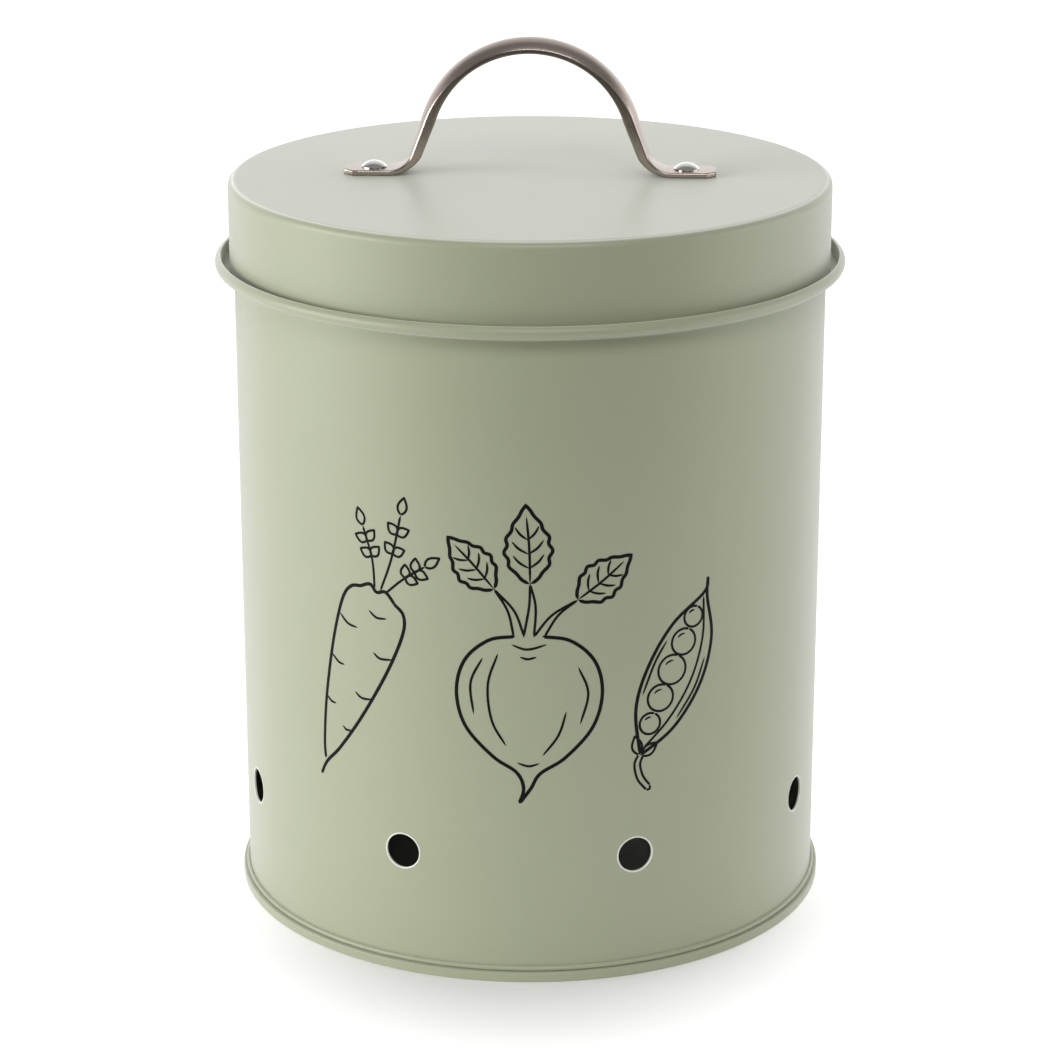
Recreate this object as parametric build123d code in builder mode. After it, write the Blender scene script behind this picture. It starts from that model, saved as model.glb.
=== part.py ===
"""Round steel keeper for onions and other vegetables, with a slip lid and a bow handle.

Millimetres, +Z up. The origin is the centre of the circle on which the tin stands.
-Y is the front, +Y the back, where the side seam is, and the handle runs along X.
"""

from build123d import *

import os
from math import cos, radians, sin, tan

os.makedirs("parts", exist_ok=True)

# Sheet steel with its powder coat
sheet = 0.5

# Body wall, which turns outwards at the mouth into a gutter
body_radius = 85.0
gutter_floor = 187.0
flare_radius = 0.8
gutter_bend = 0.1

# Collar round the gutter, its edge rolled outwards to a half-round bead
collar_proud = 5.4
collar_thickness = 1.8
collar_height = 3.55
collar_edge = 0.3
roll_radius = 1.9

# Vent holes in one row near the foot
vent_diameter = 10.0
vent_count = 8
vent_height = 36.0

# Grooved side seam at the back
seam_width = 5.0
seam_proud = 0.3
seam_end_gap = 1.0

# Foot: a bead folded in the wall, and under it the folded rim of the base
bead_proud = 1.0
bead_radius = 0.65
bead_gap = 0.15
rim_proud = 1.9
rim_height = 2.8
rim_edge = 0.4
fold_edge = 0.3
floor_rise = 3.0
fold_clearance = 0.1

# Neck inside the mouth, over which the lid slips
neck_clearance = 0.1
neck_depth = 16.0
neck_rise = 24.7
neck_curl = 1.0

# Lid, a drawn cup whose lower edge is hemmed inwards
lid_clearance = 0.8
lid_seat_gap = 0.3
lid_edge = 2.2
lid_hem_height = 4.0

# Bow handle, a half-round bar whose legs flatten towards two thin tabs
grip_width = 10.5
grip_thickness = 4.0
grip_crown = 2.7
arch_radius = 32.2
arch_rise = 39.1
flat_start = 40.0
flat_step = 8.0
leg_lean = 18.0
leg_thickness = 4.2
leg_crown = 1.3
foot_width = 11.0
foot_thickness = 3.4
foot_crown = 0.6
foot_bend = 7.0
foot_steps = 4
tab_width = 11.5
tab_thickness = 1.6
tab_crown = 0.05
tab_corner = 2.6
tab_reach = 8.4

# Rivets that hold the handle, a little out from the bend, each with a washer under the lid
rivet_inset = 3.935
rivet_diameter = 4.0
rivet_clearance = 0.1
head_diameter = 7.4
head_height = 1.9
head_edge = 0.3
tail_diameter = 6.4
tail_height = 1.2
tail_edge = 0.4
washer_diameter = 10.0
washer_thickness = 0.8

# Places worked out from the sizes above
wall_inner = body_radius - sheet
wall_foot = sheet + fold_clearance
wall_flare = gutter_floor - sheet
collar_radius = body_radius + collar_proud
collar_inner = collar_radius - collar_thickness
roll_level = gutter_floor + collar_height - roll_radius
bead_centre = body_radius + bead_proud - bead_radius
bead_level = rim_height + bead_gap + bead_radius
seam_bottom = bead_level + bead_radius + seam_end_gap
seam_top = wall_flare - flare_radius - seam_end_gap
fold_inner = wall_inner - fold_clearance
fold_outer = body_radius + fold_clearance
rim_radius = body_radius + rim_proud
neck_radius = wall_inner - neck_clearance
neck_bottom = gutter_floor - neck_depth
neck_top = gutter_floor + neck_rise
lid_under = neck_top + lid_seat_gap
lid_top = lid_under + sheet
skirt_bottom = gutter_floor + lid_seat_gap
lid_hem_inner = neck_radius + lid_clearance
lid_radius = lid_hem_inner + 2 * sheet
tab_top = lid_top + tab_thickness
arch_turn = 90 - leg_lean
arch_level = lid_top + arch_rise - arch_radius
leg_drop = arch_level + arch_radius * cos(radians(arch_turn)) - tab_top
bend_start_gap = foot_bend * tan(radians(arch_turn / 2))
bend_across = (
    arch_radius * sin(radians(arch_turn)) + leg_drop * tan(radians(leg_lean)) + bend_start_gap
)
rivet_spacing = 2 * (bend_across + rivet_inset)
tab_end = rivet_spacing / 2 + tab_reach
rivet_hole = rivet_diameter / 2 + rivet_clearance
washer_under = lid_under - washer_thickness
tail_bottom = washer_under - tail_height
dome_height = head_height - head_edge
dome_radius = ((head_diameter / 2) ** 2 + dome_height**2) / (2 * dome_height)


def round_corner(sketch, radius, height, fillet_radius):
    """Round the corner of a sketch that lies nearest to a radius and height."""
    fillet(sketch.vertices().sort_by_distance((radius, height, 0))[0], fillet_radius)


# Body shell: one sheet, flared to a gutter and rolled over at the mouth, beaded at the foot
with BuildPart() as body_shell:
    with BuildSketch(Plane.XZ) as wall:
        # The rolled edge is round outside and flat towards the gutter
        with Locations((collar_radius - roll_radius, roll_level)):
            Circle(roll_radius)
        with Locations((collar_inner, roll_level)):
            Rectangle(
                2 * roll_radius,
                2 * roll_radius,
                align=(Align.MAX, Align.CENTER),
                mode=Mode.SUBTRACT,
            )
        Polygon(
            (wall_inner, wall_foot),
            (body_radius, wall_foot),
            (body_radius, wall_flare),
            (collar_inner + sheet, wall_flare),
            (collar_inner + sheet, roll_level),
            (collar_inner, roll_level),
            (collar_inner, gutter_floor),
            (wall_inner, gutter_floor),
            align=None,
        )
        round_corner(wall, body_radius, wall_flare, flare_radius)
        round_corner(wall, wall_inner, gutter_floor, flare_radius + sheet)
        round_corner(wall, collar_inner, gutter_floor, gutter_bend)
        round_corner(wall, collar_inner + sheet, wall_flare, collar_edge)
        round_corner(wall, collar_inner, roll_level + roll_radius, collar_edge)
        with Locations((bead_centre, bead_level)):
            Circle(bead_radius)
    revolve(axis=Axis.Z)
    # Side seam at the back, between the foot bead and the flare
    with BuildSketch(Plane.XY.offset(seam_bottom)):
        Circle(body_radius + seam_proud)
        Circle(body_radius - sheet / 2, mode=Mode.SUBTRACT)
        with Locations((0, body_radius)):
            Rectangle(seam_width, 4 * (sheet + seam_proud), mode=Mode.INTERSECT)
    extrude(amount=seam_top - seam_bottom)
    # Vent holes, the first ones half a step to each side of the front
    for index in range(vent_count):
        turn = radians(360 / vent_count * (index + 0.5) - 90)
        with BuildSketch(Plane((0, 0, vent_height), z_dir=(cos(turn), sin(turn), 0))):
            Circle(vent_diameter / 2)
        extrude(amount=rim_radius, mode=Mode.SUBTRACT)

# Base plate: a raised floor whose edge turns down, then folds up round the wall's foot
with BuildPart() as base_plate:
    with BuildSketch(Plane.XZ) as base:
        Polygon(
            (0, floor_rise),
            (fold_inner - sheet, floor_rise),
            (fold_inner - sheet, 0),
            (rim_radius, 0),
            (rim_radius, rim_height),
            (fold_outer, rim_height),
            (fold_outer, sheet),
            (fold_inner, sheet),
            (fold_inner, floor_rise + sheet),
            (0, floor_rise + sheet),
            align=None,
        )
        round_corner(base, rim_radius, 0, rim_edge)
        round_corner(base, rim_radius, rim_height, rim_edge)
        round_corner(base, fold_inner - sheet, 0, fold_edge)
        round_corner(base, fold_inner, floor_rise + sheet, fold_edge)
    revolve(axis=Axis.Z)

# Neck ring: a hoop welded inside the mouth, its upper edge curled inwards
with BuildPart() as neck_ring:
    with BuildSketch(Plane.XZ):
        Polygon(
            (neck_radius - sheet, neck_bottom),
            (neck_radius, neck_bottom),
            (neck_radius, neck_top - neck_curl),
            (neck_radius - sheet, neck_top - neck_curl),
            align=None,
        )
        with Locations((neck_radius - neck_curl, neck_top - neck_curl)):
            Circle(neck_curl)
    revolve(axis=Axis.Z)

# Lid shell: a drawn cup with a flat top and a skirt hemmed inwards
with BuildPart() as lid_shell:
    with BuildSketch(Plane.XZ) as lid:
        Polygon(
            (0, lid_under),
            (lid_radius - sheet, lid_under),
            (lid_radius - sheet, skirt_bottom + lid_hem_height),
            (lid_hem_inner, skirt_bottom + lid_hem_height),
            (lid_hem_inner, skirt_bottom),
            (lid_radius, skirt_bottom),
            (lid_radius, lid_top),
            (0, lid_top),
            align=None,
        )
        round_corner(lid, lid_radius, lid_top, lid_edge)
        round_corner(lid, lid_radius - sheet, lid_under, lid_edge - sheet)
        round_corner(lid, lid_hem_inner, skirt_bottom, sheet / 2)
        round_corner(lid, lid_radius, skirt_bottom, sheet / 2)
    revolve(axis=Axis.Z)
    with BuildSketch(Plane.XY.offset(lid_under)):
        with GridLocations(rivet_spacing, 0, 2, 1):
            Circle(rivet_hole)
    extrude(amount=sheet, mode=Mode.SUBTRACT)


def bar_section(point, slope, width, thickness, crown):
    """The bar's section where its path runs down at a slope, with its crown at the point."""
    way = (cos(radians(slope)), 0, -sin(radians(slope)))
    with BuildSketch(Plane(point, x_dir=(0, 1, 0), z_dir=way)) as section:
        with BuildLine():
            Polyline(
                (width / 2, -crown),
                (width / 2, -thickness),
                (-width / 2, -thickness),
                (-width / 2, -crown),
            )
            ThreePointArc((-width / 2, -crown), (0, 0), (width / 2, -crown))
        make_face()
    return section.sketch


def outwards(slope):
    """The way that the crown faces where the bar runs down at a slope."""
    return Vector(sin(radians(slope)), 0, cos(radians(slope)))


def between(first, last, share):
    """The value at a share of the way from the first to the last."""
    return first + (last - first) * share


# The crown's line: an arch, a leg that leans outwards, and a bend into the flat tab
arch_centre = Vector(0, 0, arch_level)
leg_way = Vector(sin(radians(leg_lean)), 0, -cos(radians(leg_lean)))
leg_start = arch_centre + outwards(arch_turn) * arch_radius
leg_length = leg_drop / cos(radians(leg_lean)) - bend_start_gap
leg_end = leg_start + leg_way * leg_length
bend_end = Vector(bend_across, 0, tab_top)
bend_centre = bend_end + Vector(0, 0, foot_bend)

# Handle: half of it is built towards +X and mirrored
with BuildPart() as handle:
    # The top of the arch keeps one section
    grip_section = bar_section(
        arch_centre + outwards(0) * arch_radius, 0, grip_width, grip_thickness, grip_crown
    )
    revolve(grip_section, Axis(arch_centre, (0, 1, 0)), flat_start)
    # Further down, the crown flattens until the leg starts
    flat_steps = round((arch_turn - flat_start) / flat_step)
    sections = []
    for index in range(flat_steps + 1):
        share = index / flat_steps
        slope = between(flat_start, arch_turn, share)
        sections.append(
            bar_section(
                arch_centre + outwards(slope) * arch_radius,
                slope,
                grip_width,
                between(grip_thickness, leg_thickness, share),
                between(grip_crown, leg_crown, share),
            )
        )
    # The bend at the foot thins the bar from the leg to the tab
    for index in range(foot_steps + 1):
        share = index / foot_steps
        slope = between(arch_turn, 0, share)
        sections.append(
            bar_section(
                bend_centre - outwards(slope) * foot_bend,
                slope,
                between(foot_width, tab_width, share),
                between(tab_thickness, foot_thickness, (1 - share) ** 2),
                between(foot_crown, tab_crown, share),
            )
        )
    loft(sections, ruled=True)
    with BuildSketch(Plane.XY.offset(lid_top)):
        Polygon(
            (bend_end.X, tab_width / 2),
            (tab_end - tab_corner, tab_width / 2),
            (tab_end, tab_width / 2 - tab_corner),
            (tab_end, tab_corner - tab_width / 2),
            (tab_end - tab_corner, -tab_width / 2),
            (bend_end.X, -tab_width / 2),
            align=None,
        )
        with Locations((rivet_spacing / 2, 0)):
            Circle(rivet_hole, mode=Mode.SUBTRACT)
    extrude(amount=tab_thickness)
    mirror(about=Plane.YZ)

body_shell.part.label = "body_shell"
base_plate.part.label = "base_plate"
neck_ring.part.label = "neck_ring"
lid_shell.part.label = "lid_shell"
handle.part.label = "handle"
for piece in (body_shell, base_plate, neck_ring, lid_shell, handle):
    export_step(piece.part, f"parts/{piece.part.label}.step")

# Rivets and their washers, one of each at each end of the handle
for side, across in (("left", -rivet_spacing / 2), ("right", rivet_spacing / 2)):
    with BuildPart() as rivet:
        with BuildSketch(Plane((across, 0, 0), x_dir=(1, 0, 0), z_dir=(0, -1, 0))) as half:
            with BuildLine():
                Polyline(
                    (0, tab_top + head_height),
                    (0, tail_bottom),
                    (tail_diameter / 2, tail_bottom),
                    (tail_diameter / 2, washer_under),
                    (rivet_diameter / 2, washer_under),
                    (rivet_diameter / 2, tab_top),
                    (head_diameter / 2, tab_top),
                    (head_diameter / 2, tab_top + head_edge),
                )
                RadiusArc(
                    (head_diameter / 2, tab_top + head_edge),
                    (0, tab_top + head_height),
                    -dome_radius,
                )
            make_face()
            round_corner(half, tail_diameter / 2, tail_bottom, tail_edge)
        revolve(axis=Axis((across, 0, 0), (0, 0, 1)))
    rivet.part.label = f"rivet_{side}"
    export_step(rivet.part, f"parts/{rivet.part.label}.step")

    with BuildPart() as washer:
        with BuildSketch(Plane.XY.offset(washer_under)):
            with Locations((across, 0)):
                Circle(washer_diameter / 2)
                Circle(rivet_hole, mode=Mode.SUBTRACT)
        extrude(amount=washer_thickness)
    washer.part.label = f"washer_{side}"
    export_step(washer.part, f"parts/{washer.part.label}.step")
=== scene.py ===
# %% [markdown]
# A round steel keeper for onions and other vegetables: a powder-coated tin with a slip lid
# and a bow handle of brushed stainless steel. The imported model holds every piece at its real
# size, so this lesson loads it as a fixed frame and dresses it. Its thin sheets come in as
# loose triangles, good enough to measure but too coarse for smooth reflections, so each piece
# is worked out again as a fine surface in the same place.

import math

import bmesh
import bpy
import numpy as np
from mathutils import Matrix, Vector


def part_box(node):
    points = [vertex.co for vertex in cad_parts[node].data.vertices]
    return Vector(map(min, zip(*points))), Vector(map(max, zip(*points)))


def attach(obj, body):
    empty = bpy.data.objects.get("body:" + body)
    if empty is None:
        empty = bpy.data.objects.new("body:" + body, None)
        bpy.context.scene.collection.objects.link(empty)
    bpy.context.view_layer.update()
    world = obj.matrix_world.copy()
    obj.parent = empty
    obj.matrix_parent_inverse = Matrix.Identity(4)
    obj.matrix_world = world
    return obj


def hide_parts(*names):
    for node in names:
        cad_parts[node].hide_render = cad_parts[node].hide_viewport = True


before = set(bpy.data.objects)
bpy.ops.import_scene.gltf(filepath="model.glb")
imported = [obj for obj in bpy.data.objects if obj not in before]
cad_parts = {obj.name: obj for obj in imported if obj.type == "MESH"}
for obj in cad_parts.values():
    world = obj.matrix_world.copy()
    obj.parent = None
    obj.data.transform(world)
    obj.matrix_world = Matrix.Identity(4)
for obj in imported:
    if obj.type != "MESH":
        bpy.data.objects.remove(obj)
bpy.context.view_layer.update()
print("CAD nodes:", ", ".join(sorted(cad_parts)))

# %% [markdown]
# Every length below is in millimetres, because sheet metal is thought of that way, and turns
# to metres only when it goes into a mesh. Diameters and heights are read from the boxes of
# the CAD nodes. What a box can't tell, such as the thickness of the sheet or the radius of a
# bend, is written here once, as on the drawing of the part.

# %% Sizes, in millimetres
MM = 0.001


def low_and_high(node):
    """The lowest and the highest corner of a CAD node's box, in millimetres."""
    low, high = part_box(node)
    return np.array(low) / MM, np.array(high) / MM


body_low, body_high = low_and_high("body_shell")
base_low, base_high = low_and_high("base_plate")
neck_low, neck_high = low_and_high("neck_ring")
lid_low, lid_high = low_and_high("lid_shell")
handle_low, handle_high = low_and_high("handle")
rivet_low, rivet_high = low_and_high("rivet_right")
washer_low, washer_high = low_and_high("washer_right")

SHEET = 0.5
COLLAR_RADIUS = (body_high[0] - body_low[0]) / 2
COLLAR_HEIGHT = 3.55
COLLAR_THICKNESS = 1.8
COLLAR_EDGE = 0.3
ROLL_RADIUS = 1.9
SEAT_GAP = 0.3
GUTTER_FLOOR = lid_low[2] - SEAT_GAP
GUTTER_BEND = 0.1
FLARE_RADIUS = 0.8
RIM_RADIUS = (base_high[0] - base_low[0]) / 2
RIM_PROUD = 1.9
RIM_HEIGHT = 2.8
RIM_EDGE = 0.4
FOLD_EDGE = 0.3
FOLD_CLEARANCE = 0.1
WALL_RADIUS = RIM_RADIUS - RIM_PROUD
BEAD_PROUD = 1.0
BEAD_RADIUS = 0.65
BEAD_GAP = 0.15
VENT_RADIUS = 5.0
VENT_COUNT = 8
VENT_HEIGHT = 36.0
NECK_RADIUS = (neck_high[0] - neck_low[0]) / 2
NECK_CURL = 1.0
LID_RADIUS = (lid_high[0] - lid_low[0]) / 2
LID_EDGE = 2.2
LID_HEM_HEIGHT = 4.0
HEM_BEND = SHEET / 2
print(f"wall radius {WALL_RADIUS:.2f}, collar {COLLAR_RADIUS:.2f}, lid {LID_RADIUS:.2f} mm")

# %% [markdown]
# A pressed tin is made of surfaces with two parameters: how far along the section of the
# sheet, and how far round the tin. So one function turns any grid of points into faces, and
# another puts such patches into a mesh, welds the seams and poles, turns the faces outwards
# and lets the piece ride on its body of the frame. Working on whole grids is fast, and it
# keeps rows of faces in line with the highlights that run round a tin.

# %% Grids of points become meshes
WELD = 0.0005
SHARP_ANGLE = math.radians(38)


def patch(points, round_rows=False, round_columns=False):
    """Corners and quads of a grid of points, whose last row or column may join the first."""
    rows, columns = points.shape[:2]
    index = np.arange(rows * columns).reshape(rows, columns)
    if round_rows:
        index = np.vstack([index, index[:1]])
    if round_columns:
        index = np.hstack([index, index[:, :1]])
    quads = np.stack(
        [index[:-1, :-1], index[1:, :-1], index[1:, 1:], index[:-1, 1:]], axis=-1
    )
    return points.reshape(-1, 3), quads.reshape(-1, 4)


def add_piece(name, patches, material, body, nodes=(), marks=None):
    """Weld patches into one closed mesh that rides on a body and stands for CAD nodes.

    Marks are values at the grids' corners, which the material reads by their name.
    """
    corners = np.vstack([points for points, _ in patches])
    starts = np.cumsum([0] + [len(points) for points, _ in patches[:-1]])
    quads = np.vstack([faces + start for (_, faces), start in zip(patches, starts)])
    mesh = bpy.data.meshes.new(name)
    mesh.vertices.add(len(corners))
    mesh.vertices.foreach_set("co", (corners * MM).ravel())
    mesh.loops.add(quads.size)
    mesh.loops.foreach_set("vertex_index", quads.ravel())
    mesh.polygons.add(len(quads))
    mesh.polygons.foreach_set("loop_start", np.arange(0, quads.size, 4))
    mesh.update(calc_edges=True)
    for key, values in (marks or {}).items():
        kind, field = ("FLOAT", "value") if values.ndim == 1 else ("FLOAT_VECTOR", "vector")
        layer = mesh.attributes.new(key, kind, "POINT")
        layer.data.foreach_set(field, values.astype(np.float32).ravel())
    shell = bmesh.new()
    shell.from_mesh(mesh)
    bmesh.ops.remove_doubles(shell, verts=shell.verts, dist=WELD * MM)
    bmesh.ops.recalc_face_normals(shell, faces=shell.faces)
    volume = shell.calc_volume(signed=True)
    shell.to_mesh(mesh)
    shell.free()
    mesh.shade_smooth()
    mesh.set_sharp_from_angle(angle=SHARP_ANGLE)
    mesh.materials.append(material)
    piece = bpy.data.objects.new(name, mesh)
    bpy.context.scene.collection.objects.link(piece)
    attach(piece, body)
    if nodes:
        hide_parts(*nodes)
    edge_of_loop = np.empty(len(mesh.loops), int)
    mesh.loops.foreach_get("edge_index", edge_of_loop)
    open_edges = int((np.bincount(edge_of_loop) != 2).sum())
    print(f"{name}: {len(mesh.polygons)} faces, {open_edges} open edges, {volume * 1e6:.2f} cc")


# %% [markdown]
# Bent sheet has no sharp corners. A section is therefore drawn as a line with a radius at
# each corner. Just before and after each bend stands one more point, a holding point, so that
# smooth shading stays inside the bend and the flat beside it stays flat.

# %% Sections with rounded corners
HOLD = 0.15
BEND_STEPS = 8


def rounded_line(corners, closed=False):
    """Points of a line through corners (across, up, radius).

    A bend starts at its tangent point, goes on by radius times sin(turn) the old way and
    radius times 1 - cos(turn) to the side, and ends where the new way begins.
    """
    places = np.array([corner[:2] for corner in corners], float)
    radii = np.array([corner[2] for corner in corners], float)
    ways = np.roll(places, -1, axis=0) - places
    lengths = np.linalg.norm(ways, axis=1)
    ways = ways / lengths[:, None]
    before = np.roll(ways, 1, axis=0)
    sides = np.stack([-before[:, 1], before[:, 0]], axis=1)
    turns = np.arctan2((ways * sides).sum(1), (ways * before).sum(1))
    if not closed:
        turns[[0, -1]] = 0
    trims = radii * np.tan(np.abs(turns) / 2)
    line = []
    for i in range(len(places)):
        start = places[i] - before[i] * trims[i]
        if radii[i] > 0:
            angle = np.linspace(0, abs(turns[i]), BEND_STEPS + 1)[:, None]
            side = sides[i] * np.sign(turns[i])
            line.append(start + radii[i] * (np.sin(angle) * before[i] + (1 - np.cos(angle)) * side))
        else:
            line.append(start[None])
        after = (i + 1) % len(places)
        if (closed or after) and (radii[i] > 0 or radii[after] > 0):
            run = lengths[i] - trims[i] - trims[after]
            hold = min(HOLD, run / 4)
            first = places[i] + ways[i] * (trims[i] + hold)
            line.append(np.array([first, first + ways[i] * (run - 2 * hold)]))
    return np.vstack(line)


def round_axis(angle, radius, height, centre=0.0):
    """Points round a vertical axis, at x = centre + r sin a and y = -r cos a."""
    x, y = centre + radius * np.sin(angle), -radius * np.cos(angle)
    return np.stack(np.broadcast_arrays(x, y, height), axis=-1)


def turned(line, angles, centre=0.0):
    """A section (radius, height) turned about a vertical axis."""
    return round_axis(angles[:, None], line[:, 0], line[:, 1], centre)


COLUMNS_PER_VENT = 40
COLUMNS = VENT_COUNT * COLUMNS_PER_VENT
ROUND = np.arange(COLUMNS) / COLUMNS * 2 * math.pi
print(f"a full turn has {COLUMNS} columns, {2 * math.pi * WALL_RADIUS / COLUMNS:.2f} mm apart")

# %% [markdown]
# Materials come next. Colours are picked as sRGB hex values, the way a paint chart gives
# them, and one function turns them to the linear values that the shader works in. One more
# adds a node with its settings and links, so that each material below reads as a short list.
# Two more spell out the inputs by which a value is stretched onto another span and by which
# one colour goes over into another.

# %% Colours and nodes


def linear(hex_colour):
    """Linear RGBA of an sRGB hex colour: c / 12.92 when dark, else ((c + 0.055) / 1.055)^2.4."""
    srgb = np.array([int(hex_colour[i : i + 2], 16) / 255 for i in (1, 3, 5)])
    light = np.where(srgb <= 0.04045, srgb / 12.92, ((srgb + 0.055) / 1.055) ** 2.4)
    return (*light.tolist(), 1.0)


def add_node(tree, kind, inputs=(), **settings):
    """Add a node. Inputs map a socket to a value, or to the output that feeds it."""
    node = tree.nodes.new(kind)
    for key, value in settings.items():
        setattr(node, key, value)
    for key, value in dict(inputs).items():
        if isinstance(value, bpy.types.NodeSocket):
            tree.links.new(value, node.inputs[key])
        else:
            node.inputs[key].default_value = value
    return node


def ramp(source, span, values):
    """Inputs with which a value goes from the first to the second as its source crosses a span."""
    inputs = {"Value": source, "From Min": span[0], "From Max": span[1]}
    return {**inputs, "To Min": values[0], "To Max": values[1]}


def between(factor, first, last):
    """Inputs by which a colour Mix node goes from one hex colour to another with its factor."""
    return {"Factor": factor, 6: linear(first), 7: linear(last)}


def new_material(name):
    """An empty material, its node tree and its place to read Object coordinates from."""
    material = bpy.data.materials.new(name)
    material.use_nodes = True
    material.node_tree.nodes.clear()
    tree = material.node_tree
    return material, tree, add_node(tree, "ShaderNodeTexCoord").outputs["Object"]


print("mid sage in linear light:", [round(v, 3) for v in linear("#A4A98E")])

# %% [markdown]
# Polyester powder is sprayed on dry, charged so that it clings, and melted in an oven. It
# sets to a satin skin, slightly uneven like orange peel, because the grains flow together
# before they level out. Waves of about 1.5 mm make the long highlights shimmer, and a finer
# grain spreads them. Seen at a flat angle the fine grain stands against the light and the skin
# blooms whitish, which the shader's sheen gives: it is why the lid's top looks pale grey. On a
# few edges the colour is painted pale, a painted highlight for the bright lines there.

# %% Satin powder coat on steel
DRIFT = 60.0
PEEL_WAVE = 1.5
PEEL_DEPTH = 0.012
GRAIN = 0.35
GRAIN_DEPTH = 0.0025
# A noise seldom leaves this span
NOISE_SPAN = (0.3, 0.7)
COAT_ROUGHNESS = (0.34, 0.42)
BLOOM = 0.65
BLOOM_SPREAD = 0.44


def satin_powder_coat():
    """Sage powder coat: even colour, satin sheen, and the bump of two sizes of grain."""
    material, tree, place = new_material("satin_sage_powder_coat")
    drift = add_node(
        tree, "ShaderNodeTexNoise", {"Vector": place, "Scale": 1 / (DRIFT * MM), "Detail": 2.0}
    ).outputs["Fac"]
    colour = add_node(
        tree, "ShaderNodeMix", between(drift, "#A2A78B", "#A7AC92"), data_type="RGBA"
    ).outputs[2]
    # Painted highlight: where a piece's mark is set, the colour goes over to a pale near-white
    edge = add_node(tree, "ShaderNodeAttribute", attribute_name="painted_edge_highlight").outputs["Fac"]
    colour = add_node(
        tree, "ShaderNodeMix", {"Factor": edge, 6: colour, 7: linear("#F0EFE6")}, data_type="RGBA"
    ).outputs[2]
    peel = add_node(
        tree,
        "ShaderNodeTexNoise",
        {"Vector": place, "Scale": 1 / (PEEL_WAVE * MM), "Detail": 1.0},
    ).outputs["Fac"]
    grain = add_node(
        tree, "ShaderNodeTexNoise", {"Vector": place, "Scale": 1 / (GRAIN * MM), "Detail": 2.0}
    ).outputs["Fac"]
    gloss = add_node(
        tree, "ShaderNodeMapRange", ramp(grain, NOISE_SPAN, COAT_ROUGHNESS)
    ).outputs["Result"]
    waves = add_node(
        tree, "ShaderNodeBump", {"Height": peel, "Distance": PEEL_DEPTH * MM, "Strength": 1.0}
    ).outputs["Normal"]
    skin = add_node(
        tree,
        "ShaderNodeBump",
        {"Height": grain, "Distance": GRAIN_DEPTH * MM, "Strength": 1.0, "Normal": waves},
    ).outputs["Normal"]
    shader = add_node(
        tree,
        "ShaderNodeBsdfPrincipled",
        {
            "Base Color": colour,
            "Roughness": gloss,
            "IOR": 1.5,
            "Normal": skin,
            "Sheen Weight": BLOOM,
            "Sheen Roughness": BLOOM_SPREAD,
        },
    )
    add_node(tree, "ShaderNodeOutputMaterial", {"Surface": shader.outputs["BSDF"]})
    return material


POWDER_COAT = satin_powder_coat()
print("made", POWDER_COAT.name)

# %% [markdown]
# The bar of the handle is stainless steel, brushed along its length with a fine belt. The
# scratches bend with the bar, so they can't follow x, y and z. Each point of the bar instead
# carries the place it had before the bar was bent, and the scratches are noise in that
# straight bar, drawn out a hundredfold along it. Real scratches are a few hundredths of a
# millimetre wide, too fine to show, so these are drawn three times as coarse.

# %% Brushed stainless steel
SCRATCH_WIDTH = 0.12
SCRATCH_LENGTH = 14.0
SCRATCH_DEPTH = 0.0016
STEEL_ROUGHNESS = (0.2, 0.32)


def brushed_stainless():
    """Stainless steel, belt-brushed along the bar: streaks in its gloss, colour and height."""
    material, tree, _ = new_material("brushed_stainless_steel")
    straight = add_node(tree, "ShaderNodeAttribute", attribute_name="straight_bar")
    along = add_node(tree, "ShaderNodeAttribute", attribute_name="bar_way")
    scale = (1 / SCRATCH_LENGTH, 1 / SCRATCH_WIDTH, 1 / SCRATCH_WIDTH)
    stretched = add_node(
        tree, "ShaderNodeMapping", {"Vector": straight.outputs["Vector"], "Scale": scale}
    ).outputs["Vector"]
    streaks = add_node(
        tree, "ShaderNodeTexNoise", {"Vector": stretched, "Scale": 1.0, "Detail": 3.0}
    ).outputs["Fac"]
    colour = add_node(
        tree, "ShaderNodeMix", between(streaks, "#A3968D", "#BFB3AA"), data_type="RGBA"
    ).outputs[2]
    gloss = add_node(
        tree, "ShaderNodeMapRange", ramp(streaks, NOISE_SPAN, STEEL_ROUGHNESS)
    ).outputs["Result"]
    scratches = add_node(
        tree, "ShaderNodeBump", {"Height": streaks, "Distance": SCRATCH_DEPTH * MM, "Strength": 1.0}
    ).outputs["Normal"]
    shader = add_node(
        tree,
        "ShaderNodeBsdfPrincipled",
        {
            "Base Color": colour,
            "Metallic": 1.0,
            "Roughness": gloss,
            "Anisotropic": 0.6,
            "Anisotropic Rotation": 0.25,
            "Tangent": along.outputs["Vector"],
            "Normal": scratches,
        },
    )
    add_node(tree, "ShaderNodeOutputMaterial", {"Surface": shader.outputs["BSDF"]})
    return material


BRUSHED_STEEL = brushed_stainless()
print("made", BRUSHED_STEEL.name)

# %% [markdown]
# The rivets are nickel-plated steel, tumbled bright before they are set, and the setting tool
# leaves faint dents. The washers are zinc-plated, duller and a little blue. The print is
# black screen ink, laid on so thickly that it stands a few hundredths of a millimetre proud
# and dries to a soft eggshell gloss, slightly mottled by its pigment. All three are a tint
# that drifts with a noise, so one function makes them.

# %% Bright rivets, zinc washers and ink
DENT = 1.6
NICKEL_DENTS = 0.03
ZINC_DENTS = 0.01
MOTTLE = 0.8


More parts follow.
